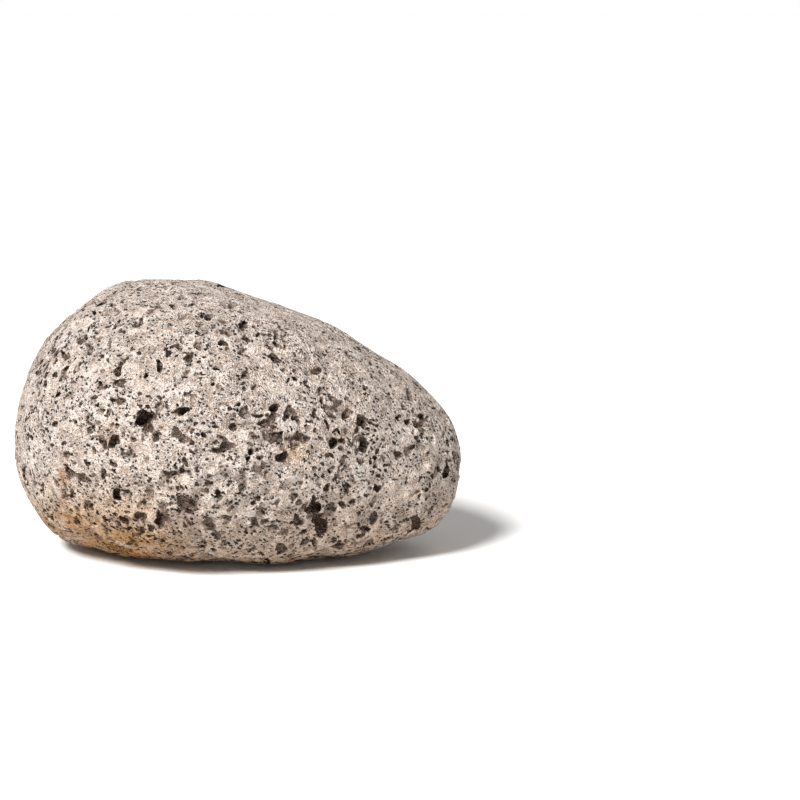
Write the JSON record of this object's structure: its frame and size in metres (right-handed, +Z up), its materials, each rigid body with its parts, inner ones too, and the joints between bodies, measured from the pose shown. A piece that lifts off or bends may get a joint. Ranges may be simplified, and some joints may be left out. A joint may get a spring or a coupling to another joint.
{
  "type": "pumice stone",
  "caption": "Natural pumice stone, a rounded water-worn piece of light rock foam, pitted all over with burst gas bubbles, with a small worn flat to rest on.",
  "frame": {"origin": "on the surface that the stone stands on, under the middle of its bounding box", "axes": "+Z up, +X along the stone towards its low narrow end, -Y out of the broad face whose hollows are placed by hand"},
  "size_m": [0.101, 0.0764, 0.061],
  "materials": {
    "pumice": "matte"
  },
  "bodies": {
    "root": {"pumice_stone": "pumice"}
  },
  "joints": []
}
